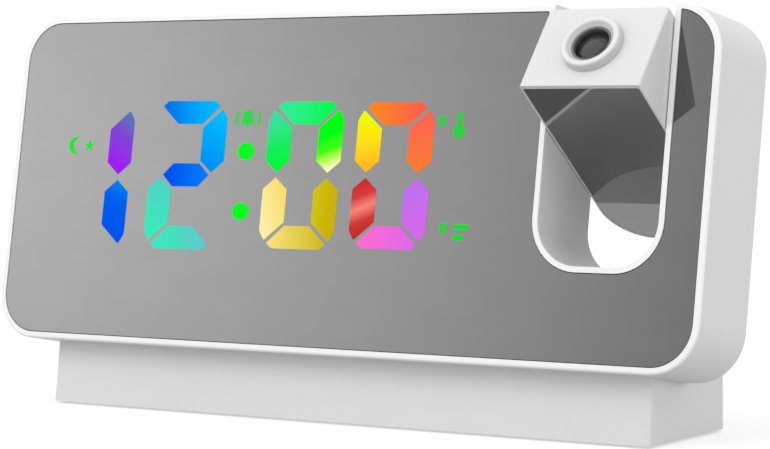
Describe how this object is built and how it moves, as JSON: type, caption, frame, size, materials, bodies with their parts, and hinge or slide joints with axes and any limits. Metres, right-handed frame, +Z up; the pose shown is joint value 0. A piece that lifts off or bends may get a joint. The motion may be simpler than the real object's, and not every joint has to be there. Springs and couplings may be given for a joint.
{
  "type": "projection alarm clock",
  "caption": "Mirror-front digital alarm clock leaning back on a low base, with a projector arm that tilts in a U-shaped slot at the right end and a focus ring on its lens.",
  "frame": {"origin": "middle of the flat face that the clock stands on, under the middle of its base", "axes": "+X along the clock towards the projector arm, -Y out of the mirror, +Z up"},
  "size_m": [0.189, 0.0545, 0.0925],
  "materials": {
    "white_plastic": "satin white",
    "mirror": "half-silvered grey mirror on acrylic",
    "arm_mirror": "grey mirror",
    "grey_plastic": "satin",
    "steel": "plated",
    "rubber": "matt",
    "diffuser": "frosted",
    "circuit_board": "lacquered",
    "led": "clear resin over phosphor",
    "black_plastic": "matt",
    "resin": "glossy bead",
    "coin": "polished",
    "wire": "smooth sleeve",
    "aluminium": "cast",
    "glass": "clear acrylic"
  },
  "bodies": {
    "clock_body": {"housing": "white_plastic", "mirror_panel": "mirror", "rear_cover": "white_plastic", "cover_screws": "steel", "base_shell": "white_plastic", "base_plate": "grey_plastic", "base_plate_screws": "steel", "base_mount_screws": "steel", "rubber_foot": "rubber", "display_frame": "white_plastic", "segment_diffusers": "diffuser", "display_board": "circuit_board", "display_leds": "led", "main_board": "circuit_board", "board_spacers": "white_plastic", "board_screws": "steel", "board_header": "black_plastic", "controller_chip": "black_plastic", "push_switches": "black_plastic", "sounder": "black_plastic", "temperature_sensor": "resin", "coin_cell_holder": "black_plastic", "coin_cell": "coin", "battery_door": "white_plastic", "battery_door_screw": "steel", "socket_board": "circuit_board", "socket_board_screws": "steel", "charging_outlet": "steel", "power_inlet": "black_plastic", "hollow_pivot_pin": "grey_plastic", "solid_pivot_pin": "grey_plastic", "friction_washers": "steel", "housing_lead": "wire", "lead_plug": "white_plastic"},
    "projector_arm": {"arm_case": "white_plastic", "arm_mirror": "arm_mirror", "arm_back": "white_plastic", "arm_back_screws": "steel", "light_tunnel": "black_plastic", "lamp_board": "circuit_board", "lamp_led": "led", "heat_sink": "aluminium", "condenser_lens": "glass", "time_slide": "black_plastic", "lens_guide": "black_plastic", "arm_lead": "wire"},
    "focus_ring_body": {"focus_ring": "white_plastic", "ring_clip": "grey_plastic"},
    "lens_cell_body": {"lens_cell": "black_plastic", "projection_lens": "glass"},
    "snooze": {"snooze_button": "white_plastic"},
    "mode": {"mode_button": "white_plastic"},
    "set": {"set_button": "white_plastic"},
    "up": {"up_button": "white_plastic"},
    "down": {"down_button": "white_plastic"},
    "projector": {"projector_button": "white_plastic"}
  },
  "joints": [
    {"name": "arm_tilt", "type": "hinge", "parent": "clock_body", "child": "projector_arm", "pos_m": [0.06875, -0.00164, 0.07], "axis": [1, 0, 0], "range_deg": [-151, 29]},
    {"name": "focus_turn", "type": "hinge", "parent": "projector_arm", "child": "focus_ring_body", "pos_m": [0.06875, -0.00164, 0.07], "axis": [0, -0.7771, 0.6293], "range_deg": [-92, 92]},
    {"name": "lens_focus", "type": "slide", "parent": "projector_arm", "child": "lens_cell_body", "axis": [0, -0.7771, 0.6293], "range_m": [-0.00075, 0.00075]},
    {"name": "snooze_press", "type": "slide", "parent": "clock_body", "child": "snooze", "axis": [0, -0.1736, -0.9848], "range_m": [0, 0.0007], "stiffness_N_per_m": 1500, "springref_m": -0.0003},
    {"name": "mode_press", "type": "slide", "parent": "clock_body", "child": "mode", "axis": [0, -0.9848, 0.1736], "range_m": [0, 0.0007], "stiffness_N_per_m": 1200, "springref_m": -0.0003},
    {"name": "set_press", "type": "slide", "parent": "clock_body", "child": "set", "axis": [0, -0.9848, 0.1736], "range_m": [0, 0.0007], "stiffness_N_per_m": 1200, "springref_m": -0.0003},
    {"name": "up_press", "type": "slide", "parent": "clock_body", "child": "up", "axis": [0, -0.9848, 0.1736], "range_m": [0, 0.0007], "stiffness_N_per_m": 1200, "springref_m": -0.0003},
    {"name": "down_press", "type": "slide", "parent": "clock_body", "child": "down", "axis": [0, -0.9848, 0.1736], "range_m": [0, 0.0007], "stiffness_N_per_m": 1200, "springref_m": -0.0003},
    {"name": "projector_press", "type": "slide", "parent": "clock_body", "child": "projector", "axis": [0, -0.9848, 0.1736], "range_m": [0, 0.0007], "stiffness_N_per_m": 1200, "springref_m": -0.0003}
  ],
  "couplings": [
    {"joint": "focus_turn", "follows": "lens_focus", "rad_per_m": 2094.4}
  ]
}
